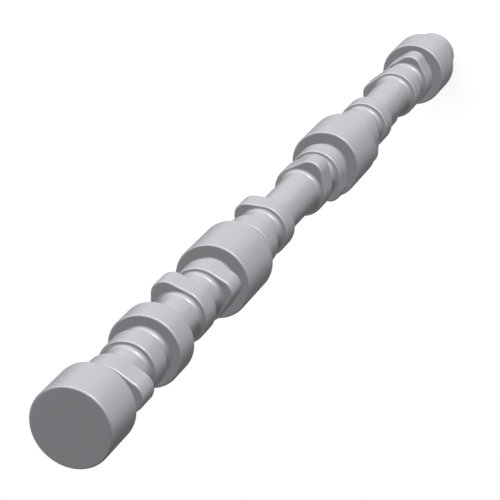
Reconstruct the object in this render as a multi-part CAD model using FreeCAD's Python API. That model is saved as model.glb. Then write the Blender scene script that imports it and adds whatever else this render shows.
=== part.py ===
"""Camshaft of an in-line six-cylinder pushrod engine, standing on its drive end.

Millimetres and degrees. The shaft's axis is Z, the origin is the centre of the
drive end's face, and +Z runs to the plain rear end. Angles turn about +Z,
anticlockwise as seen from the rear end, which is the way the shaft turns.
"""
import math
import os

import FreeCAD
import Part

# Whole shaft
overall_length = 719.0
core_diameter = 28.8
fillet_radius = 3.0
edge_radius = 1.3

# Four bearing journals, counted from the drive end
journal_diameter = 51.0
journal_width = 43.2
drive_journal_width = 33.0
rear_journal_width = 32.9
second_journal_height = 262.9
bearing_pitch = 223.4

# Cylinders, counted from the drive end: each has an inlet and an exhaust lobe beside its bore
bore_pitch = 111.8
first_bore_height = 92.1
valve_spacing = 33.4
firing_order = (1, 5, 3, 6, 2, 4)

# Cam lobes: a base circle and a nose circle joined by straight flanks
lobe_width = 16.3
base_circle_diameter = 37.6
inlet_lift = 4.45
inlet_nose_radius = 9.4
exhaust_lift = 6.25
exhaust_nose_radius = 10.1
lobe_separation = 108.0
first_exhaust_angle = 0.0

# Plain round disc between the last two cylinders' lobes
disc_diameter = 47.9
disc_width = 20.3
disc_height = 606.6

# Low eccentric that works the lift pump, between the first two cylinders' lobes
eccentric_diameter = 23.8
eccentric_offset = 5.9
eccentric_width = 11.7
eccentric_height = 148.6
eccentric_angle = 96.0

# Drive nose, the round seat of the timing gear, with a bolt hole and a dowel hole in its face
nose_diameter = 36.4
nose_length = 28.0
nose_chamfer = 1.0
bolt_hole_diameter = 10.2
bolt_hole_depth = 30.0
dowel_hole_diameter = 6.0
dowel_hole_depth = 12.0
dowel_hole_offset = 12.0
dowel_angle = 0.0


def is_circle(edge):
    """True for an edge that is a whole or part circle."""
    return isinstance(edge.Curve, Part.Circle)


def round_shoulder(diameter, bottom, width):
    """Cylinder about the axis with both of its rims rounded."""
    radius = diameter / 2
    body = Part.makeCylinder(radius, width, FreeCAD.Vector(0, 0, bottom))
    rims = [edge for edge in body.Edges if is_circle(edge)]
    return body.makeFillet(min(edge_radius, width / 3), rims)


def cam_outline(lift, nose_radius):
    """Closed wire of a cam in the XY plane, with its nose along +X.

    Each straight flank touches both circles, so its normal leans from the nose
    axis by the angle whose cosine is the difference of the radii over the
    distance of the centres.
    """
    base = base_circle_diameter / 2
    centre = base + lift - nose_radius
    lean = math.acos((base - nose_radius) / centre)
    base_x = base * math.cos(lean)
    base_y = base * math.sin(lean)
    nose_x = centre + nose_radius * math.cos(lean)
    nose_y = nose_radius * math.sin(lean)
    base_left = FreeCAD.Vector(base_x, base_y, 0)
    base_right = FreeCAD.Vector(base_x, -base_y, 0)
    nose_left = FreeCAD.Vector(nose_x, nose_y, 0)
    nose_right = FreeCAD.Vector(nose_x, -nose_y, 0)
    heel = FreeCAD.Vector(-base, 0, 0)
    tip = FreeCAD.Vector(base + lift, 0, 0)
    curves = [
        Part.Arc(base_left, heel, base_right),
        Part.LineSegment(base_right, nose_right),
        Part.Arc(nose_right, tip, nose_left),
        Part.LineSegment(nose_left, base_left),
    ]
    return Part.Wire([curve.toShape() for curve in curves])


def cam_lobe(lift, nose_radius, angle, bottom):
    """One cam lobe with rounded rims, its nose turned to the given angle."""
    face = Part.Face(cam_outline(lift, nose_radius))
    body = face.extrude(FreeCAD.Vector(0, 0, lobe_width))
    rims = [edge for edge in body.Edges if edge.BoundBox.ZLength < lobe_width / 2]
    body = body.makeFillet(min(edge_radius, lobe_width / 3), rims)
    body.rotate(FreeCAD.Vector(0, 0, 0), FreeCAD.Vector(0, 0, 1), angle)
    body.translate(FreeCAD.Vector(0, 0, bottom))
    return body


def cylinder_lobes(cylinder):
    """Inlet and exhaust lobes of one cylinder, as pairs of bottom height and solid.

    Each cylinder fires one equal step of the turn after the one before it in
    the firing order, and its exhaust lobe leads its inlet lobe by the lobe
    separation.
    """
    step = 360.0 / len(firing_order)
    exhaust_angle = first_exhaust_angle - step * firing_order.index(cylinder)
    inlet_angle = exhaust_angle - lobe_separation
    bore_height = first_bore_height + bore_pitch * (cylinder - 1)
    inlet_bottom = bore_height - valve_spacing / 2 - lobe_width / 2
    exhaust_bottom = bore_height + valve_spacing / 2 - lobe_width / 2
    inlet = cam_lobe(inlet_lift, inlet_nose_radius, inlet_angle, inlet_bottom)
    exhaust = cam_lobe(exhaust_lift, exhaust_nose_radius, exhaust_angle, exhaust_bottom)
    return [(inlet_bottom, inlet), (exhaust_bottom, exhaust)]


def journal_spans():
    """Bottom height and width of each journal, from the drive end up."""
    second = second_journal_height - journal_width / 2
    third = second + bearing_pitch
    return [
        (nose_length, drive_journal_width),
        (second, journal_width),
        (third, journal_width),
        (overall_length - rear_journal_width, rear_journal_width),
    ]


def pump_eccentric():
    """Round disc set off the axis, so that only its far side stands proud of the core."""
    bottom = eccentric_height - eccentric_width / 2
    body = round_shoulder(eccentric_diameter, bottom, eccentric_width)
    body.translate(FreeCAD.Vector(eccentric_offset, 0, 0))
    body.rotate(FreeCAD.Vector(0, 0, 0), FreeCAD.Vector(0, 0, 1), eccentric_angle)
    return body


def drive_nose():
    """Gear seat below the drive journal, chamfered round the end face."""
    body = Part.makeCylinder(nose_diameter / 2, nose_length)
    rim = [edge for edge in body.Edges if is_circle(edge) and edge.BoundBox.ZMax < nose_length / 2]
    return body.makeChamfer(min(nose_chamfer, nose_length / 3), rim)


def blind_hole(diameter, depth, offset, angle):
    """Hole with a drill point, bored up from the drive end's face at an offset from the axis."""
    hole = Part.makeCylinder(diameter / 2, depth)
    point = Part.makeCone(diameter / 2, 0, diameter / 2, FreeCAD.Vector(0, 0, depth))
    drill = hole.fuse(point)
    drill.translate(FreeCAD.Vector(offset, 0, 0))
    drill.rotate(FreeCAD.Vector(0, 0, 0), FreeCAD.Vector(0, 0, 1), angle)
    return drill


def gear_seat_holes():
    """Tapping hole of the gear's bolt on the axis, and the hole of the dowel that times the gear."""
    bolt = blind_hole(bolt_hole_diameter, bolt_hole_depth, 0.0, 0.0)
    dowel = blind_hole(dowel_hole_diameter, dowel_hole_depth, dowel_hole_offset, dowel_angle)
    return [bolt, dowel]


def core_corners(spans):
    """Heights where the core meets a shoulder's face, with the fillet that the gap leaves room for."""
    corners = []
    ordered = sorted(spans)
    for (bottom, width), (next_bottom, _) in zip(ordered, ordered[1:]):
        gap = next_bottom - (bottom + width)
        if gap > 0:
            radius = min(fillet_radius, gap / 2.2)
            corners.append((bottom + width, radius))
            corners.append((next_bottom, radius))
    return corners


def fillet_core(shaft, corners):
    """Rounds each inner corner between the core and a shoulder's face."""
    core_radius = core_diameter / 2
    for radius in sorted(set(corner[1] for corner in corners)):
        heights = [height for height, size in corners if size == radius]
        edges = [
            edge for edge in shaft.Edges
            if is_circle(edge)
            and abs(edge.Curve.Radius - core_radius) < 0.001
            and min(abs(edge.Curve.Center.z - height) for height in heights) < 0.001
        ]
        shaft = shaft.makeFillet(radius, edges)
    return shaft


def camshaft():
    """The whole one-piece camshaft."""
    core = Part.makeCylinder(core_diameter / 2, overall_length - edge_radius)
    solids = [drive_nose()]
    spans = [(0.0, nose_length)]
    for bottom, width in journal_spans():
        solids.append(round_shoulder(journal_diameter, bottom, width))
        spans.append((bottom, width))
    disc_bottom = disc_height - disc_width / 2
    solids.append(round_shoulder(disc_diameter, disc_bottom, disc_width))
    spans.append((disc_bottom, disc_width))
    for cylinder in sorted(firing_order):
        for bottom, lobe in cylinder_lobes(cylinder):
            solids.append(lobe)
            spans.append((bottom, lobe_width))
    shaft = core.multiFuse(solids).removeSplitter()
    shaft = fillet_core(shaft, core_corners(spans))
    shaft = shaft.fuse(pump_eccentric()).removeSplitter()
    shaft = shaft.cut(gear_seat_holes())
    return shaft.Solids[0]


os.makedirs("parts", exist_ok=True)
shaft = camshaft()
shaft.exportStep("parts/camshaft.step")
box = shaft.optimalBoundingBox()
print("camshaft", round(box.XLength, 2), round(box.YLength, 2), round(box.ZLength, 2))
print("volume cm3", round(shaft.Volume / 1000, 1), "valid", shaft.isValid(), "closed", shaft.isClosed())
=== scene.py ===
"""Looks of a one-piece six-cylinder camshaft, worked out as one closed steel surface.

The frame is the part's own: the shaft's axis is Z, the drive end's face is at
height zero and the plain rear end is up. Sizes of the features are written in
millimetres and degrees, as a drawing gives them, and the meshes are in metres.
"""

import logging
from dataclasses import dataclass, field
from enum import Enum
from typing import Any

import bmesh
import bpy
import numpy as np
from mathutils import Matrix, Vector
from mathutils.geometry import delaunay_2d_cdt

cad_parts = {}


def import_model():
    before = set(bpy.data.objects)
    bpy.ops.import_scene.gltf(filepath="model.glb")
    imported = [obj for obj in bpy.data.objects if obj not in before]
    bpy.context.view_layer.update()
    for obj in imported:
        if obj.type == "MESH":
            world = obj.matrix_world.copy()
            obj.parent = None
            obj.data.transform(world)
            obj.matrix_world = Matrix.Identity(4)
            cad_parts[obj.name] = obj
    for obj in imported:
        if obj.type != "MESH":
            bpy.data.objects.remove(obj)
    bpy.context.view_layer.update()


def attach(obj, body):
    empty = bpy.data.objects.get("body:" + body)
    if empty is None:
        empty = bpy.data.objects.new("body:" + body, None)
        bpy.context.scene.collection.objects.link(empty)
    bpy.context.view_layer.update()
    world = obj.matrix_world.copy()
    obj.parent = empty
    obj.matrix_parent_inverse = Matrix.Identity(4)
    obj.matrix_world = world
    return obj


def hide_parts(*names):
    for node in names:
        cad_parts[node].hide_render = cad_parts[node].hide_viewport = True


log = logging.getLogger("camshaft")

# One output of a node, as the node and the output's name.
Output = tuple[bpy.types.Node, str]

MM = 0.001
MICROMETRE = 1e-6
WHITE = (1.0, 1.0, 1.0, 1.0)

# Points round the shaft and round a hole, and steps across a fillet and a rounded rim.
AROUND = 160
HOLE_AROUND = 40
FILLET_STEPS = 6
ROUND_STEPS = 5

# Narrow strips, in millimetres, that keep a flat or straight stretch even beside a rounding.
FOOT_STRIP = 0.02
FACE_STRIP = 0.03
CORE_STRIP = 0.04
LAND_STRIP = 0.05

# Points this near to each other, in metres, become one.
WELD_DISTANCE = 2e-7
# An edge that bends by more than this, in degrees, is shaded as sharp.
SHARP_BEND = 34.0
# Widest angle off a flank's normal, in radians, at which its formula is worked out.
FLANK_REACH = 1.2


class Zone(Enum):
    """Part of the surface that one tool finished; the value is its material slot's number."""

    CORE = 0
    JOURNAL = 1
    LOBE = 2
    FACE = 3
    HOLE = 4


class LineRun(Enum):
    """Way that fine tool lines repeat: up the shaft, outwards from its axis, or both."""

    HEIGHT = "height"
    RADIUS = "radius"
    BOTH = "both"


class NodeGraph:
    """Short words for laying out a node tree."""

    def __init__(self, tree: bpy.types.NodeTree) -> None:
        """Keeps the tree that the nodes go into, and empties it."""
        self.tree = tree
        self.tree.nodes.clear()

    def add(self, kind: str, **settings: Any) -> bpy.types.Node:
        """Adds a node.

        Args:
            kind: The node's type name.
            **settings: Properties of the node and their values.

        Returns:
            The new node.
        """
        node = self.tree.nodes.new(kind)
        for key, value in settings.items():
            setattr(node, key, value)
        return node

    def join(self, source: Output, target: bpy.types.Node, entry: str | int) -> None:
        """Joins an output to a node's input, which is given by name or number."""
        self.tree.links.new(source[0].outputs[source[1]], target.inputs[entry])

    def _math(self, operation: str, first: Output, second: Output | float) -> Output:
        """Adds one arithmetic node.

        Args:
            operation: What the node works out.
            first: The output that it works on.
            second: The other output, or a number.

        Returns:
            The node's output.
        """
        node = self.add("ShaderNodeMath", operation=operation)
        self.join(first, node, 0)
        if isinstance(second, tuple):
            self.join(second, node, 1)
        else:
            node.inputs[1].default_value = second
        return node, "Value"

    def plus(self, first: Output, second: Output | float) -> Output:
        """Sum of two outputs, or of an output and a number."""
        return self._math("ADD", first, second)

    def times(self, first: Output, second: Output | float) -> Output:
        """Product of two outputs, or of an output and a number."""
        return self._math("MULTIPLY", first, second)

    def highest(self, first: Output, second: Output | float) -> Output:
        """The larger of two outputs, or of an output and a number."""
        return self._math("MAXIMUM", first, second)

    def raised(self, base: Output, power: float) -> Output:
        """An output raised to a power."""
        return self._math("POWER", base, power)

    def scaled(self, source: Output, factor: float, shift: float) -> Output:
        """Adds a node that gives an output times a factor plus a shift.

        Args:
            source: The output.
            factor: What it is multiplied by.
            shift: What is added after that.

        Returns:
            The node's output.
        """
        node = self.add("ShaderNodeMath", operation="MULTIPLY_ADD")
        self.join(source, node, 0)
        node.inputs[1].default_value = factor
        node.inputs[2].default_value = shift
        return node, "Value"

    def around_one(self, source: Output, spread: float) -> Output:
        """Turns a pattern from 0 to 1 into a factor that spreads evenly about 1."""
        return self.scaled(source, 2 * spread, 1.0 - spread)

    def centred(self, source: Output, spread: float) -> Output:
        """Turns a pattern from 0 to 1 into one of the given spread about 0."""
        return self.scaled(source, spread, -spread / 2)

    def blend(self, first: Output, second: Output, share: float) -> Output:
        """Weighted mean of two outputs, with the given share of the first."""
        return self.plus(self.times(first, share), self.times(second, 1.0 - share))


@dataclass(frozen=True)
class LineScale:
    """Scale of one layer of tool lines.

    Attributes:
        along: Changes per metre along the lines' coordinate, for one line per millimetre.
        across: Changes per metre across the shaft, which are slow.
    """

    along: float
    across: float


@dataclass(frozen=True)
class SteelFinish:
    """One finish of the bare steel, from its colour to the fine lines that its tool left.

    Attributes:
        name: The material's name.
        roughness: Roughness at the middle of the line pattern.
        run: Way that the tool lines repeat.
        lines_per_mm: Tool lines per millimetre.
        line_shade: How much the lines lighten and darken the colour, as a share.
        line_roughness: How much the roughness changes from line to line.
        line_depth: Depth of the lines in micrometres.
        colour: Colour of the bare steel.
        mottle_shade: How much the broad mottling lightens and darkens, as a share.
        mottle_roughness: How much the mottling changes the roughness.
        edge_shine: How much brighter a rubbed rim is, as a share.
        fine: Scale of the fine lines.
        broad: Scale of the broader lines among them.
        fine_share: Share of the fine lines in the pattern.
    """

    name: str
    roughness: float
    run: LineRun
    lines_per_mm: float
    line_shade: float
    line_roughness: float
    line_depth: float
    colour: tuple[float, float, float] = (0.590, 0.583, 0.622)
    mottle_shade: float = 0.02
    mottle_roughness: float = 0.03
    edge_shine: float = 0.05
    fine: LineScale = LineScale(1000.0, 9.0)
    broad: LineScale = LineScale(170.0, 4.0)
    fine_share: float = 0.55

    def material(self) -> bpy.types.Material:
        """Builds the finish as a node material that reads object coordinates.

        Returns:
            The material, with tool lines, mottling and rubbed edges.
        """
        made = bpy.data.materials.new(self.name)
        made.use_nodes = True
        graph = NodeGraph(made.node_tree)
        place = (graph.add("ShaderNodeTexCoord"), "Object")
        lines = self._lines(graph, place)
        mottle = self._mottle(graph, place)
        shader = graph.add("ShaderNodeBsdfPrincipled")
        shader.inputs["Metallic"].default_value = 1.0
        graph.join(self._tone(graph, lines, mottle), shader, "Base Color")
        rough = graph.scaled(lines, self.line_roughness, self.roughness - self.line_roughness / 2)
        cloud = graph.centred(mottle, self.mottle_roughness)
        graph.join(graph.plus(rough, cloud), shader, "Roughness")
        bump = graph.add("ShaderNodeBump")
        bump.inputs["Strength"].default_value = 1.0
        bump.inputs["Distance"].default_value = self.line_depth * MICROMETRE
        graph.join(lines, bump, "Height")
        graph.join((bump, "Normal"), shader, "Normal")
        output = graph.add("ShaderNodeOutputMaterial")
        graph.join((shader, "BSDF"), output, "Surface")
        return made

    def _lines(self, graph: NodeGraph, place: Output) -> Output:
        """Adds the whole pattern of tool lines, from 0 to 1.

        Args:
            graph: Graph that holds the nodes.
            place: The point's coordinates.

        Returns:
            The pattern.
        """
        split = graph.add("ShaderNodeSeparateXYZ")
        graph.join(place, split, "Vector")
        along = self._line_coordinate(graph, split)
        fine = self._line_layer(graph, split, along, self.fine)
        broad = self._line_layer(graph, split, along, self.broad)
        return graph.blend(fine, broad, self.fine_share)

    def _line_coordinate(self, graph: NodeGraph, split: bpy.types.Node) -> Output:
        """Picks the coordinate that the tool lines repeat along.

        Args:
            graph: Graph that holds the nodes.
            split: Node that gives the point's coordinates one by one.

        Returns:
            The height, the distance from the axis, or the sum of both.
        """
        if self.run is LineRun.HEIGHT:
            return split, "Z"
        flat = graph.add("ShaderNodeCombineXYZ")
        graph.join((split, "X"), flat, "X")
        graph.join((split, "Y"), flat, "Y")
        reach = graph.add("ShaderNodeVectorMath", operation="LENGTH")
        graph.join((flat, "Vector"), reach, 0)
        if self.run is LineRun.RADIUS:
            return reach, "Value"
        return graph.plus((split, "Z"), (reach, "Value"))

    def _line_layer(
        self, graph: NodeGraph, split: bpy.types.Node, along: Output, scale: LineScale
    ) -> Output:
        """Adds noise that changes fast along one coordinate and slowly round the shaft.

        Args:
            graph: Graph that holds the nodes.
            split: Node that gives the point's coordinates one by one.
            along: Coordinate that the lines repeat along.
            scale: How fast the noise changes both ways.

        Returns:
            The noise, from 0 to 1.
        """
        stretched = graph.add("ShaderNodeCombineXYZ")
        graph.join(graph.times((split, "X"), scale.across), stretched, "X")
        graph.join(graph.times((split, "Y"), scale.across), stretched, "Y")
        graph.join(graph.times(along, self.lines_per_mm * scale.along), stretched, "Z")
        noise = graph.add("ShaderNodeTexNoise")
        noise.inputs["Scale"].default_value = 1.0
        noise.inputs["Detail"].default_value = 2.0
        noise.inputs["Roughness"].default_value = 0.5
        graph.join((stretched, "Vector"), noise, "Vector")
        return noise, "Fac"

    def _mottle(self, graph: NodeGraph, place: Output) -> Output:
        """Adds broad, cloudy noise.

        Args:
            graph: Graph that holds the nodes.
            place: The point's coordinates.

        Returns:
            The noise, from 0 to 1.
        """
        noise = graph.add("ShaderNodeTexNoise")
        noise.inputs["Scale"].default_value = 46.0
        noise.inputs["Detail"].default_value = 4.0
        noise.inputs["Roughness"].default_value = 0.55
        graph.join(place, noise, "Vector")
        return noise, "Fac"

    def _tone(self, graph: NodeGraph, lines: Output, mottle: Output) -> Output:
        """Adds the steel's colour, shaded by lines and mottling and brighter at rubbed rims.

        Args:
            graph: Graph that holds the nodes.
            lines: Pattern of the tool lines.
            mottle: Pattern of the mottling.

        Returns:
            The colour.
        """
        worn = graph.add("ShaderNodeAttribute", attribute_name="rim")
        shade = graph.around_one(lines, self.line_shade)
        cloud = graph.around_one(mottle, self.mottle_shade)
        shine = graph.scaled((worn, "Fac"), self.edge_shine, 1.0)
        tint = graph.add("ShaderNodeVectorMath", operation="SCALE")
        tint.inputs[0].default_value = self.colour
        graph.join(graph.times(graph.times(shade, cloud), shine), tint, "Scale")
        return tint, "Vector"


FINISHES = {
    Zone.CORE: SteelFinish(
        name="turned_core",
        roughness=0.32,
        run=LineRun.BOTH,
        lines_per_mm=2.2,
        line_shade=0.030,
        line_roughness=0.05,
        line_depth=1.6,
    ),
    Zone.JOURNAL: SteelFinish(
        name="ground_journal",
        roughness=0.37,
        run=LineRun.HEIGHT,
        lines_per_mm=3.4,
        line_shade=0.018,
        line_roughness=0.03,
        line_depth=0.6,
    ),
    Zone.LOBE: SteelFinish(
        name="ground_lobe",
        roughness=0.37,
        run=LineRun.HEIGHT,
        lines_per_mm=3.0,
        line_shade=0.020,
        line_roughness=0.03,
        line_depth=0.7,
    ),
    Zone.FACE: SteelFinish(
        name="faced_shoulder",
        roughness=0.40,
        run=LineRun.RADIUS,
        lines_per_mm=2.4,
        line_shade=0.022,
        line_roughness=0.04,
        line_depth=1.0,
    ),
    Zone.HOLE: SteelFinish(
        name="drilled_hole",
        roughness=0.46,
        run=LineRun.HEIGHT,
        lines_per_mm=2.0,
        line_shade=0.060,
        line_roughness=0.08,
        line_depth=3.0,
    ),
}


def grid_faces(rings: int, around: int) -> np.ndarray:
    """Quads between neighbouring rings of a closed grid, facing away from the axis.

    Quad (v, k) joins points k and k + 1 of ring v to the same points of ring
    v + 1, and the last point of a ring is followed by its first.

    Args:
        rings: Number of rings.
        around: Points in each ring.

    Returns:
        Point numbers, as quads by four.
    """
    ring = np.arange(rings - 1)[:, None] * around
    here = np.arange(around)[None, :]
    after = (here + 1) % around
    corners = [ring + here, ring + after, ring + around + after, ring + around + here]
    return np.stack(corners, axis=2).reshape(-1, 4)


def fan_faces(first: int, around: int, tip: int) -> np.ndarray:
    """Triangles that close a ring with a tip, facing up where the ring runs anticlockwise.

    Triangle k joins points k and k + 1 of the ring to the tip.

    Args:
        first: Number of the ring's first point.
        around: Points in the ring.
        tip: Number of the tip's point.

    Returns:
        Point numbers, as triangles by three.
    """
    here = np.arange(around)
    return np.column_stack([first + here, first + (here + 1) % around, np.full(around, tip)])


@dataclass
class Patchwork:
    """Points, faces and zones of one mesh, collected patch by patch."""

    points: list[np.ndarray] = field(default_factory=list)
    faces: list[list[int]] = field(default_factory=list)
    zones: list[np.ndarray] = field(default_factory=list)

    @property
    def count(self) -> int:
        """Number of points so far."""
        return sum(len(patch) for patch in self.points)

    def add(self, points: np.ndarray, faces: list[np.ndarray], zones: np.ndarray | int) -> None:
        """Adds a patch.

        Args:
            points: Its points in metres, as points by three.
            faces: Arrays of faces, one row each, numbered from the patch's first point.
            zones: Material slot's number of each face, or of all of them.
        """
        for rows in faces:
            self.faces.extend((rows + self.count).tolist())
        self.points.append(points)
        self.zones.append(np.broadcast_to(zones, sum(len(rows) for rows in faces)))

    def mesh(self, name: str) -> bpy.types.Mesh:
        """Puts the patches into a mesh.

        Args:
            name: The mesh's name.

        Returns:
            The mesh, with the zones as its faces' material slots.
        """
        made = bpy.data.meshes.new(name)
        made.from_pydata(np.concatenate(self.points), [], self.faces)
        slots = np.concatenate(self.zones).astype(np.int32)
        made.polygons.foreach_set("material_index", slots)
        return made


@dataclass
class RingStack:
    """Rings round the axis, stacked from the drive end up.

    The surface is the function of angle a and ring number v that gives the
    point (r cos a, r sin a, h), with the radius r(a, v) and the height h(v).
    """

    angle: np.ndarray
    heights: list[np.ndarray] = field(default_factory=list)
    radii: list[np.ndarray] = field(default_factory=list)
    zones: list[np.ndarray] = field(default_factory=list)
    rims: list[np.ndarray] = field(default_factory=list)

    def add(
        self,
        height: np.ndarray | list[float],
        radius: np.ndarray | float,
        zone: Zone,
        rim: np.ndarray | float = 0.0,
    ) -> None:
        """Adds rings, in millimetres.

        Args:
            height: Heights of the rings, one each.
            radius: Radii, one row of the stack's angles for each ring, or one for all.
            zone: Finish of the strip below each of these rings.
            rim: How much each ring lies on a rubbed edge, 0 to 1.
        """
        height = np.asarray(height, float)
        self.heights.append(height)
        self.radii.append(np.broadcast_to(radius, (len(height), len(self.angle))))
        self.zones.append(np.full(len(height), zone.value))
        self.rims.append(np.broadcast_to(rim, len(height)))

    def points(self) -> np.ndarray:
        """Works out the points of all rings.

        Returns:
            Points in metres, as rings by angles by three.
        """
        height = np.concatenate(self.heights)[:, None]
        radius = np.concatenate(self.radii)
        across = radius * np.cos(self.angle)
        deep = radius * np.sin(self.angle)
        return np.stack([across, deep, np.broadcast_to(height, across.shape)], axis=2) * MM


@dataclass
class Shoulder:
    """A round shoulder on the core: a journal, the plain disc or, with a cam's outline, a lobe."""

    bottom: float
    width: float
    diameter: float
    edge: float
    zone: Zone

    @property
    def top(self) -> float:
        """Height of the upper face."""
        return self.bottom + self.width

    def radius(self, angle: np.ndarray, inset: np.ndarray) -> np.ndarray:
        """Radius of the outline moved inwards along its own normal, here a plain circle.

        Args:
            angle: Angles round the axis, a row.
            inset: How far the outline is moved in, a column.

        Returns:
            Radii, one row for each inset.
        """
        return self.diameter / 2 - inset + 0 * angle

    def add_to(self, stack: RingStack, foot: float, cap: float) -> None:
        """Adds the lower face, the rounded rims, the ground land and the upper face.

        A rim is a quarter circle: at the turn t the outline is moved in by
        edge (1 - sin t), and the height is edge (1 - cos t) off the face. It
        is rubbed most at its middle, as sin 2t.

        Args:
            stack: Stack that the rings go onto.
            foot: Radius at which the lower face starts.
            cap: Radius at which the upper face ends.
        """
        turn = np.linspace(0, np.pi / 2, ROUND_STEPS + 1)
        rise = self.edge * (1 - np.cos(turn))
        rim = self.radius(stack.angle, self.edge * (1 - np.sin(turn))[:, None])
        rubbed = np.sin(2 * turn)
        near = self.radius(stack.angle, np.array([[self.edge + FACE_STRIP]]))
        inner = np.minimum(foot + FOOT_STRIP, near)
        stack.add([self.bottom, self.bottom], np.concatenate([inner, near]), Zone.FACE)
        stack.add(self.bottom + rise[:1], rim[:1], Zone.FACE, rubbed[:1])
        stack.add(self.bottom + rise[1:], rim[1:], self.zone, rubbed[1:])
        land = self.edge + LAND_STRIP
        full = self.radius(stack.angle, np.zeros((1, 1)))
        stack.add([self.bottom + land, self.top - land], full, self.zone)
        stack.add(self.top - rise[::-1], rim[::-1], self.zone, rubbed[::-1])
        inner = np.minimum(cap + FOOT_STRIP, near)
        stack.add([self.top, self.top], np.concatenate([near, inner]), Zone.FACE)


@dataclass
class CamLobe(Shoulder):
    """A cam: a base circle and a nose circle joined by straight flanks."""

    lift: float
    nose_radius: float
    nose_angle: float

    def radius(self, angle: np.ndarray, inset: np.ndarray) -> np.ndarray:
        """Radius of the cam moved inwards along its own normal.

        Both circles lose the inset and keep their centres. With a the angle
        from the nose and b the lean of the flank's normal, the radius is the
        base radius on the heel, base radius / cos(a - b) on the flank, and
        d cos a + sqrt(n^2 - (d sin a)^2) on the nose, where n is the nose
        radius and d the distance of its centre.

        Args:
            angle: Angles round the axis, a row.
            inset: How far the outline is moved in, a column.

        Returns:
            Radii, one row for each inset.
        """
        away = np.abs((angle - np.radians(self.nose_angle) + np.pi) % (2 * np.pi) - np.pi)
        centre = self.diameter / 2 + self.lift - self.nose_radius
        base = self.diameter / 2 - inset
        nose = self.nose_radius - inset
        lean = np.arccos((base - nose) / centre)
        tangent = np.arctan2(nose * np.sin(lean), centre + nose * np.cos(lean))
        flank = base / np.cos(np.clip(away - lean, -FLANK_REACH, FLANK_REACH))
        chord = np.maximum(nose ** 2 - (centre * np.sin(away)) ** 2, 0)
        tip = centre * np.cos(away) + np.sqrt(chord)
        return np.where(away < tangent, tip, np.where(away < lean, flank, base + 0 * away))


@dataclass
class OffsetDisc(Shoulder):
    """A disc set off the axis, of which only the part outside the core shows."""

    offset: float
    offset_angle: float
    core_radius: float

    def radius(self, angle: np.ndarray, inset: np.ndarray) -> np.ndarray:
        """Radius of the disc moved inwards, or of the core where that is larger.

        With a the angle from the offset, r the disc's radius and e the
        offset, the radius from the axis is e cos a + sqrt(r^2 - (e sin a)^2).

        Args:
            angle: Angles round the axis, a row.
            inset: How far the outline is moved in, a column.

        Returns:
            Radii, one row for each inset.
        """
        away = angle - np.radians(self.offset_angle)
        size = self.diameter / 2 - inset
        chord = size ** 2 - (self.offset * np.sin(away)) ** 2
        return np.maximum(self.offset * np.cos(away) + np.sqrt(chord), self.core_radius)


@dataclass
class ValveTrain:
    """The twelve lobes, placed by bore spacing and turned by firing order."""

    bore_pitch: float = 111.8
    first_bore_height: float = 92.1
    valve_spacing: float = 33.4
    firing_order: tuple[int, ...] = (1, 5, 3, 6, 2, 4)
    lobe_width: float = 16.3
    base_diameter: float = 37.6
    edge: float = 1.3
    inlet_lift: float = 4.45
    inlet_nose_radius: float = 9.4
    exhaust_lift: float = 6.25
    exhaust_nose_radius: float = 10.1
    lobe_separation: float = 108.0

    def lobes(self) -> list[CamLobe]:
        """Makes every lobe; a cylinder's exhaust lobe leads its inlet lobe by the separation.

        Returns:
            The inlet and exhaust lobes, from the first cylinder up.
        """
        made = []
        step = 360.0 / len(self.firing_order)
        common = (self.lobe_width, self.base_diameter, self.edge, Zone.LOBE)
        for cylinder in sorted(self.firing_order):
            bore = self.first_bore_height + self.bore_pitch * (cylinder - 1)
            middle = bore - self.lobe_width / 2
            lead = -step * self.firing_order.index(cylinder)
            inlet = (self.inlet_lift, self.inlet_nose_radius, lead - self.lobe_separation)
            exhaust = (self.exhaust_lift, self.exhaust_nose_radius, lead)
            made.append(CamLobe(middle - self.valve_spacing / 2, *common, *inlet))
            made.append(CamLobe(middle + self.valve_spacing / 2, *common, *exhaust))
        return made


@dataclass(frozen=True)
class BlindHole:
    """A drilled hole with a drill point, up from the drive end's face at an offset along X.

    The drill point narrows to a small ring, of the given share of the radius,
    which a tip closes.
    """

    diameter: float
    depth: float
    offset: float
    tip_share: float = 0.02

    @property
    def radius(self) -> float:
        """Half the diameter."""
        return self.diameter / 2

    @property
    def middle(self) -> np.ndarray:
        """Centre of the mouth, in millimetres."""
        return np.array([self.offset, 0.0])

    def mouth(self) -> np.ndarray:
        """Points round the mouth, in millimetres, as points by two."""
        turn = np.arange(HOLE_AROUND) * 2 * np.pi / HOLE_AROUND
        return self.middle + self.radius * np.column_stack([np.cos(turn), np.sin(turn)])

    def wall(self) -> tuple[np.ndarray, list[np.ndarray]]:
        """Works out the wall and the drill point, as a function of angle and depth.

        At each depth the mouth's ring is drawn in to a share of its radius: 1
        down the wall, and then falling to the tip's share over the drill
        point, which is as deep as the hole's radius.

        Returns:
            Points in metres, and arrays of faces that look into the hole.
        """
        point = self.depth + self.radius * (1 - self.tip_share)
        depth = np.array([0.0, self.depth, point])[:, None, None]
        share = np.array([1.0, 1.0, self.tip_share])[:, None, None]
        flat = self.middle + (self.mouth() - self.middle) * share
        rings = len(flat)
        points = np.concatenate([flat, np.broadcast_to(depth, (rings, HOLE_AROUND, 1))], axis=2)
        tip = np.array([[*self.middle, self.depth + self.radius]])
        tube = grid_faces(rings, HOLE_AROUND)
        cone = fan_faces((rings - 1) * HOLE_AROUND, HOLE_AROUND, rings * HOLE_AROUND)
        inwards = [tube[:, ::-1], cone[:, [1, 0, 2]]]
        return np.concatenate([points.reshape(-1, 3), tip]) * MM, inwards


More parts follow.
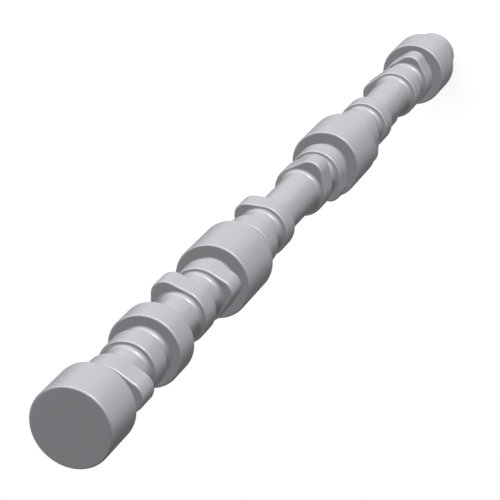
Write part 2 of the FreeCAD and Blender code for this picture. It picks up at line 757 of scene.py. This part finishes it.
@dataclass
class DriveNose:
    """Round seat of the timing gear below the drive journal, with two holes in its face.

    The first hole takes the gear's bolt and the second its dowel.
    """

    diameter: float = 36.4
    length: float = 28.0
    chamfer: float = 1.0
    chamfer_rub: float = 0.6
    holes: tuple[BlindHole, ...] = (BlindHole(10.2, 30.0, 0.0), BlindHole(6.0, 12.0, 12.0))

    def add_to(self, stack: RingStack) -> None:
        """Adds the chamfer and the nose's wall.

        Args:
            stack: Stack that the rings go onto.
        """
        radius = self.diameter / 2
        stack.add([0.0], radius - self.chamfer, Zone.FACE)
        stack.add([self.chamfer], radius, Zone.JOURNAL, self.chamfer_rub)
        stack.add([self.length], radius, Zone.JOURNAL)

    def face(self, outer: np.ndarray) -> tuple[np.ndarray, list[np.ndarray]]:
        """Flat face between the chamfer's ring and the mouths of the holes.

        Args:
            outer: The chamfer's ring, in millimetres, as points by two.

        Returns:
            Points in metres, and an array of triangles that look down.
        """
        loops = [outer, *(hole.mouth() for hole in self.holes)]
        rims = []
        start = 0
        for loop in loops:
            here = np.arange(len(loop))
            rims.extend((start + np.column_stack([here, np.roll(here, -1)])).tolist())
            start += len(loop)
        corners = [Vector(point) for point in np.concatenate(loops)]
        inside_only, nearest = 1, 1e-6
        found = delaunay_2d_cdt(corners, rims, [], inside_only, nearest)
        points = np.array([tuple(point) for point in found[0]])
        faces = np.array(found[2])
        centres = points[faces].mean(axis=1)
        for hole in self.holes:
            clear = np.linalg.norm(centres - hole.middle, axis=1) > hole.radius
            faces, centres = faces[clear], centres[clear]
        return np.column_stack([points, np.zeros(len(points))]) * MM, [faces[:, ::-1]]


@dataclass
class Camshaft:
    """The whole shaft: core, journals, plain disc, pump eccentric, lobes and drive end."""

    overall_length: float = 719.0
    core_diameter: float = 28.8
    fillet_radius: float = 3.0
    edge: float = 1.3
    journal_diameter: float = 51.0
    journal_width: float = 43.2
    drive_journal_width: float = 33.0
    rear_journal_width: float = 32.9
    second_journal_height: float = 262.9
    bearing_pitch: float = 223.4
    disc_diameter: float = 47.9
    disc_width: float = 20.3
    disc_height: float = 606.6
    eccentric_diameter: float = 23.8
    eccentric_offset: float = 5.9
    eccentric_width: float = 11.7
    eccentric_height: float = 148.6
    eccentric_angle: float = 96.0
    gap_per_fillet: float = 2.2
    pole_ring_radius: float = 2.0
    drive_nose: DriveNose = field(default_factory=DriveNose)
    valve_train: ValveTrain = field(default_factory=ValveTrain)

    def journals(self) -> list[Shoulder]:
        """Makes the four bearing journals.

        Returns:
            The journals, from the drive end up.
        """
        second = self.second_journal_height - self.journal_width / 2
        spans = [
            (self.drive_nose.length, self.drive_journal_width),
            (second, self.journal_width),
            (second + self.bearing_pitch, self.journal_width),
            (self.overall_length - self.rear_journal_width, self.rear_journal_width),
        ]
        return [
            Shoulder(bottom, width, self.journal_diameter, self.edge, Zone.JOURNAL)
            for bottom, width in spans
        ]

    def plain_disc(self) -> Shoulder:
        """The plain round disc between the last two cylinders' lobes."""
        bottom = self.disc_height - self.disc_width / 2
        return Shoulder(bottom, self.disc_width, self.disc_diameter, self.edge, Zone.JOURNAL)

    def pump_eccentric(self) -> OffsetDisc:
        """Makes the low eccentric between the first two cylinders' lobes.

        Returns:
            The eccentric.
        """
        return OffsetDisc(
            bottom=self.eccentric_height - self.eccentric_width / 2,
            width=self.eccentric_width,
            diameter=self.eccentric_diameter,
            edge=self.edge,
            zone=Zone.LOBE,
            offset=self.eccentric_offset,
            offset_angle=self.eccentric_angle,
            core_radius=self.core_diameter / 2,
        )

    def shoulders(self) -> list[Shoulder]:
        """Puts every shoulder on the core in order.

        Returns:
            The shoulders, from the drive end up.
        """
        round_ones = [*self.journals(), self.plain_disc(), self.pump_eccentric()]
        every = [*round_ones, *self.valve_train.lobes()]
        return sorted(every, key=lambda shoulder: shoulder.bottom)

    def fillet(self, lower: Shoulder, upper: Shoulder) -> float:
        """Fillet radius at both ends of the core between two shoulders, as the gap allows."""
        return min(self.fillet_radius, (upper.bottom - lower.top) / self.gap_per_fillet)

    def add_core(self, stack: RingStack, lower: Shoulder, upper: Shoulder) -> None:
        """Adds the core between two shoulders, with a concave fillet at each end.

        At the turn t of a fillet of radius f the surface stands f (1 - cos t)
        outside the core, at f (1 - sin t) from the shoulder's face. Only the
        eccentric meets the core without a fillet.

        Args:
            stack: Stack that the rings go onto.
            lower: Shoulder below.
            upper: Shoulder above.
        """
        core = self.core_diameter / 2
        size = self.fillet(lower, upper)
        turn = np.linspace(0, np.pi / 2, FILLET_STEPS + 1)
        bow = core + size * (1 - np.cos(turn))[:, None]
        off = size * (1 - np.sin(turn))
        if isinstance(lower, OffsetDisc):
            stack.add([lower.top], core, Zone.FACE)
        else:
            stack.add(lower.top + off[::-1], bow[::-1], Zone.CORE)
            stack.add([lower.top + size + CORE_STRIP], core, Zone.CORE)
        if isinstance(upper, OffsetDisc):
            stack.add([upper.bottom], core, Zone.CORE)
        else:
            stack.add([upper.bottom - size - CORE_STRIP], core, Zone.CORE)
            stack.add(upper.bottom - off, bow, Zone.CORE)

    def rings(self) -> RingStack:
        """Stacks the rings of the whole outside.

        Returns:
            The rings, from the nose's chamfer to the rear face.
        """
        stack = RingStack(np.arange(AROUND) * 2 * np.pi / AROUND)
        core = self.core_diameter / 2
        every = self.shoulders()
        fillets = [self.fillet(lower, upper) for lower, upper in zip(every, every[1:])]
        self.drive_nose.add_to(stack)
        every[0].add_to(stack, self.drive_nose.diameter / 2, core + fillets[0])
        for k, (lower, upper) in enumerate(zip(every, every[1:])):
            self.add_core(stack, lower, upper)
            if isinstance(upper, OffsetDisc):
                upper.add_to(stack, core, core)
            elif upper is every[-1]:
                upper.add_to(stack, core + fillets[k], self.pole_ring_radius)
            else:
                upper.add_to(stack, core + fillets[k], core + fillets[k + 1])
        return stack

    def build(self) -> bpy.types.Object:
        """Puts the outside, the rear face's pole, the drive end's face and its holes together.

        Returns:
            The shaft's object, at the origin.
        """
        stack = self.rings()
        points = stack.points()
        rings, around = points.shape[:2]
        pole = rings * around
        outside = np.concatenate([points.reshape(-1, 3), [[0.0, 0.0, self.overall_length * MM]]])
        walls = grid_faces(rings, around)
        rear = fan_faces(pole - around, around, pole)
        zones = np.repeat(np.concatenate(stack.zones)[1:], around)
        patches = Patchwork()
        patches.add(outside, [walls, rear], np.append(zones, np.full(around, Zone.FACE.value)))
        patches.add(*self.drive_nose.face(points[0, :, :2] / MM), Zone.FACE.value)
        for hole in self.drive_nose.holes:
            patches.add(*hole.wall(), Zone.HOLE.value)
        mesh = patches.mesh("camshaft_steel")
        rims = np.zeros(patches.count, np.float32)
        rims[:pole] = np.repeat(np.concatenate(stack.rims), around)
        mesh.attributes.new("rim", "FLOAT", "POINT").data.foreach_set("value", rims)
        self._weld(mesh)
        mesh.set_sharp_from_angle(angle=np.radians(SHARP_BEND))
        made = bpy.data.objects.new("camshaft_steel", mesh)
        # The satin steel shows the soft lights alone, not the faces of its own shoulders.
        made.visible_glossy = False
        bpy.context.scene.collection.objects.link(made)
        return made

    def _weld(self, mesh: bpy.types.Mesh) -> None:
        """Joins points that coincide, so that the surface is one closed shell, and smooths it.

        Args:
            mesh: The mesh, which is changed in place.
        """
        work = bmesh.new()
        work.from_mesh(mesh)
        bmesh.ops.remove_doubles(work, verts=work.verts, dist=WELD_DISTANCE)
        open_edges = sum(1 for edge in work.edges if len(edge.link_faces) != 2)
        for face in work.faces:
            face.smooth = True
        log.info("camshaft surface: %d faces, %d open edges", len(work.faces), open_edges)
        work.to_mesh(mesh)
        work.free()

    def dress(self, made: bpy.types.Object) -> None:
        """Gives each zone of the surface its finish, in the order of the zones' numbers.

        Args:
            made: The shaft's object.
        """
        for zone in sorted(Zone, key=lambda zone: zone.value):
            made.data.materials.append(FINISHES[zone].material())


@dataclass(frozen=True)
class SoftLight:
    """A large soft light, far off on one side, that fades away from its middle.

    Attributes:
        azimuth: Direction round the shaft, in degrees.
        elevation: Height above the horizon, in degrees.
        power: Power of the cosine that it fades by; a higher one is a smaller light.
        level: Brightness of its middle, where plain white is 1.
    """

    azimuth: float
    elevation: float
    power: float
    level: float

    @property
    def towards(self) -> tuple[float, float, float]:
        """Works out the direction of the light's middle, from its azimuth a and elevation e.

        Returns:
            The unit vector (cos e cos a, cos e sin a, sin e).
        """
        around, up = np.radians([self.azimuth, self.elevation])
        flat = np.cos(up)
        return float(flat * np.cos(around)), float(flat * np.sin(around)), float(np.sin(up))

    def glow(self, graph: NodeGraph, outwards: Output) -> Output:
        """Adds the nodes of level * max(0, cos a)^power, with a the angle from the middle.

        Args:
            graph: Graph that holds the nodes.
            outwards: The direction looked in.

        Returns:
            The light's brightness in that direction.
        """
        facing = graph.add("ShaderNodeVectorMath", operation="DOT_PRODUCT")
        graph.join(outwards, facing, 0)
        facing.inputs[1].default_value = self.towards
        cosine = graph.highest((facing, "Value"), 0.0)
        return graph.times(graph.raised(cosine, self.power), self.level)


@dataclass(frozen=True)
class FloorPaint:
    """Matt white that shows as white to the camera and takes the shaft's faint shadow.

    Reflections look through it, so the soft lights below the shaft light the
    steel as those above it do.

    Attributes:
        name: The material's name.
        colour: Its pale colour.
        roughness: Its roughness.
        glow: How much it shines for the camera, so that the open floor is white.
    """

    name: str = "white_floor"
    colour: tuple[float, float, float, float] = (0.8, 0.8, 0.8, 1.0)
    roughness: float = 0.9
    glow: float = 0.64

    def material(self) -> bpy.types.Material:
        """Builds the paint as a node material.

        Returns:
            The material.
        """
        made = bpy.data.materials.new(self.name)
        made.use_nodes = True
        # The glow is for the camera and lights nothing.
        made.cycles.emission_sampling = "NONE"
        graph = NodeGraph(made.node_tree)
        path = graph.add("ShaderNodeLightPath")
        shader = graph.add("ShaderNodeBsdfPrincipled")
        shader.inputs["Base Color"].default_value = self.colour
        shader.inputs["Roughness"].default_value = self.roughness
        shader.inputs["Specular IOR Level"].default_value = 0.0
        shader.inputs["Emission Color"].default_value = WHITE
        shown = graph.times((path, "Is Camera Ray"), self.glow)
        graph.join(shown, shader, "Emission Strength")
        clear = graph.add("ShaderNodeBsdfTransparent")
        passed = graph.highest((path, "Is Glossy Ray"), (path, "Is Transmission Ray"))
        mix = graph.add("ShaderNodeMixShader")
        graph.join(passed, mix, 0)
        graph.join((shader, "BSDF"), mix, 1)
        graph.join((clear, "BSDF"), mix, 2)
        output = graph.add("ShaderNodeOutputMaterial")
        graph.join((mix, "Shader"), output, "Surface")
        return made


@dataclass
class Floor:
    """Plain round floor just under the shaft.

    Attributes:
        radius: Radius in metres.
        pole_radius: Radius of the innermost ring in metres.
        drop: How far it lies below the drive end's face, in metres.
        around: Points in each ring.
        steps: Number of rings.
        paint: Its finish.
    """

    radius: float = 0.38
    pole_radius: float = 0.002
    drop: float = 0.0004
    around: int = 96
    steps: int = 8
    paint: FloorPaint = FloorPaint()

    def build(self) -> bpy.types.Object:
        """Makes the floor as a polar grid.

        The point at angle a and step v is (r cos a, r sin a), with r growing
        evenly with v.

        Returns:
            The floor's object.
        """
        angle = np.arange(self.around) * 2 * np.pi / self.around
        radius = np.linspace(self.pole_radius, self.radius, self.steps)[:, None]
        height = np.full((self.steps, self.around), -self.drop)
        flat = np.stack([radius * np.cos(angle), radius * np.sin(angle), height], axis=2)
        points = np.concatenate([flat.reshape(-1, 3), [[0.0, 0.0, -self.drop]]])
        upwards = grid_faces(self.steps, self.around)[:, ::-1]
        middle = fan_faces(0, self.around, self.steps * self.around)
        patches = Patchwork()
        patches.add(points, [upwards, middle], 0)
        made = bpy.data.objects.new("floor", patches.mesh("floor"))
        bpy.context.scene.collection.objects.link(made)
        self.dress(made)
        return made

    def dress(self, made: bpy.types.Object) -> None:
        """Paints the floor."""
        made.data.materials.append(self.paint.material())


@dataclass
class Studio:
    """Pale floor, white surroundings, soft lights and the camera."""

    camera_place: tuple[float, float, float] = (-0.485410, -0.500160, 1.630742)
    camera_ahead: tuple[float, float, float] = (0.351526, 0.365660, -0.861813)
    camera_up: tuple[float, float, float] = (0.068299, -0.928129, -0.365939)
    lens: float = 150.220
    sensor: float = 36.0
    near: float = 0.05
    far: float = 50.0
    floor: Floor = field(default_factory=Floor)
    all_round: float = 0.13
    lights: tuple[SoftLight, ...] = (
        # The broad light in front of the shaft.
        SoftLight(-95.0, -5.0, 1.0, 1.09),
        # Above it, two on the right and one on the left.
        SoftLight(-60.0, 30.0, 6.0, 0.20),
        SoftLight(-44.0, 49.0, 8.0, 0.43),
        SoftLight(-169.0, 39.0, 4.0, 0.29),
        # From below, for the upright walls as they show from above.
        SoftLight(170.0, -49.0, 16.0, 0.51),
        SoftLight(-40.0, -59.0, 16.0, 0.49),
        SoftLight(-113.0, -74.0, 32.0, 0.47),
        SoftLight(5.0, -40.0, 16.0, 0.37),
        # From behind and above, for the upper faces.
        SoftLight(24.0, 46.0, 48.0, 0.48),
        SoftLight(150.0, 80.0, 12.0, 0.25),
        # Level ones at both sides, for the ends of the fillets.
        SoftLight(-8.0, -5.0, 8.0, 0.24),
        SoftLight(170.0, -8.0, 8.0, 0.22),
        # A fill for the back.
        SoftLight(54.0, -5.0, 6.0, 0.32),
        # The streak in the fillets: the wider glow, and the narrow bright middle.
        SoftLight(-132.0, -2.0, 18.0, 0.30),
        SoftLight(-121.0, -6.0, 110.0, 4.0),
    )

    def build(self) -> None:
        """Makes everything round the shaft."""
        self.floor.build()
        self.build_world()
        self.build_camera()
        log.info("studio with %d soft lights", len(self.lights))

    def build_world(self) -> None:
        """White surroundings for the camera and for what is seen through.

        The steel and the floor are lit by an even level plus the soft lights.
        """
        world = bpy.data.worlds.new("studio")
        world.use_nodes = True
        # The steel takes its light from its reflections alone, which no shoulder blocks.
        world.cycles.sampling_method = "NONE"
        bpy.context.scene.world = world
        graph = NodeGraph(world.node_tree)
        outwards = (graph.add("ShaderNodeTexCoord"), "Generated")
        total = self.lights[0].glow(graph, outwards)
        for light in self.lights[1:]:
            total = graph.plus(total, light.glow(graph, outwards))
        studio = graph.add("ShaderNodeBackground")
        studio.inputs["Color"].default_value = WHITE
        graph.join(graph.plus(total, self.all_round), studio, "Strength")
        white = graph.add("ShaderNodeBackground")
        white.inputs["Color"].default_value = WHITE
        white.inputs["Strength"].default_value = 1.0
        path = graph.add("ShaderNodeLightPath")
        seen = graph.highest((path, "Is Camera Ray"), (path, "Is Transmission Ray"))
        mix = graph.add("ShaderNodeMixShader")
        graph.join(seen, mix, 0)
        graph.join((studio, "Background"), mix, 1)
        graph.join((white, "Background"), mix, 2)
        output = graph.add("ShaderNodeOutputWorld")
        graph.join((mix, "Shader"), output, "Surface")

    def build_camera(self) -> bpy.types.Object:
        """Makes the camera at the photographed viewing angle, with its long lens.

        Returns:
            The camera's object, which is the scene's camera.
        """
        ahead = Vector(self.camera_ahead).normalized()
        right = ahead.cross(Vector(self.camera_up)).normalized()
        above = right.cross(ahead)
        turn = Matrix((right, above, -ahead)).transposed().to_4x4()
        data = bpy.data.cameras.new("camera")
        data.lens = self.lens
        data.sensor_width = self.sensor
        data.clip_start, data.clip_end = self.near, self.far
        made = bpy.data.objects.new("camera", data)
        made.matrix_world = Matrix.Translation(Vector(self.camera_place)) @ turn
        bpy.context.scene.collection.objects.link(made)
        bpy.context.scene.camera = made
        return made


def main() -> None:
    """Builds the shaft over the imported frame, dresses it and sets the studio round it."""
    logging.basicConfig(level=logging.INFO, format="%(name)s: %(message)s")
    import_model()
    view = bpy.context.scene.view_settings
    view.view_transform = "Standard"
    Studio().build()
    shaft = Camshaft()
    steel = shaft.build()
    shaft.dress(steel)
    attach(steel, "root")
    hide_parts("camshaft")
    log.info("piece %s rides on the shaft's body", steel.name)


if __name__ == "__main__":
    main()
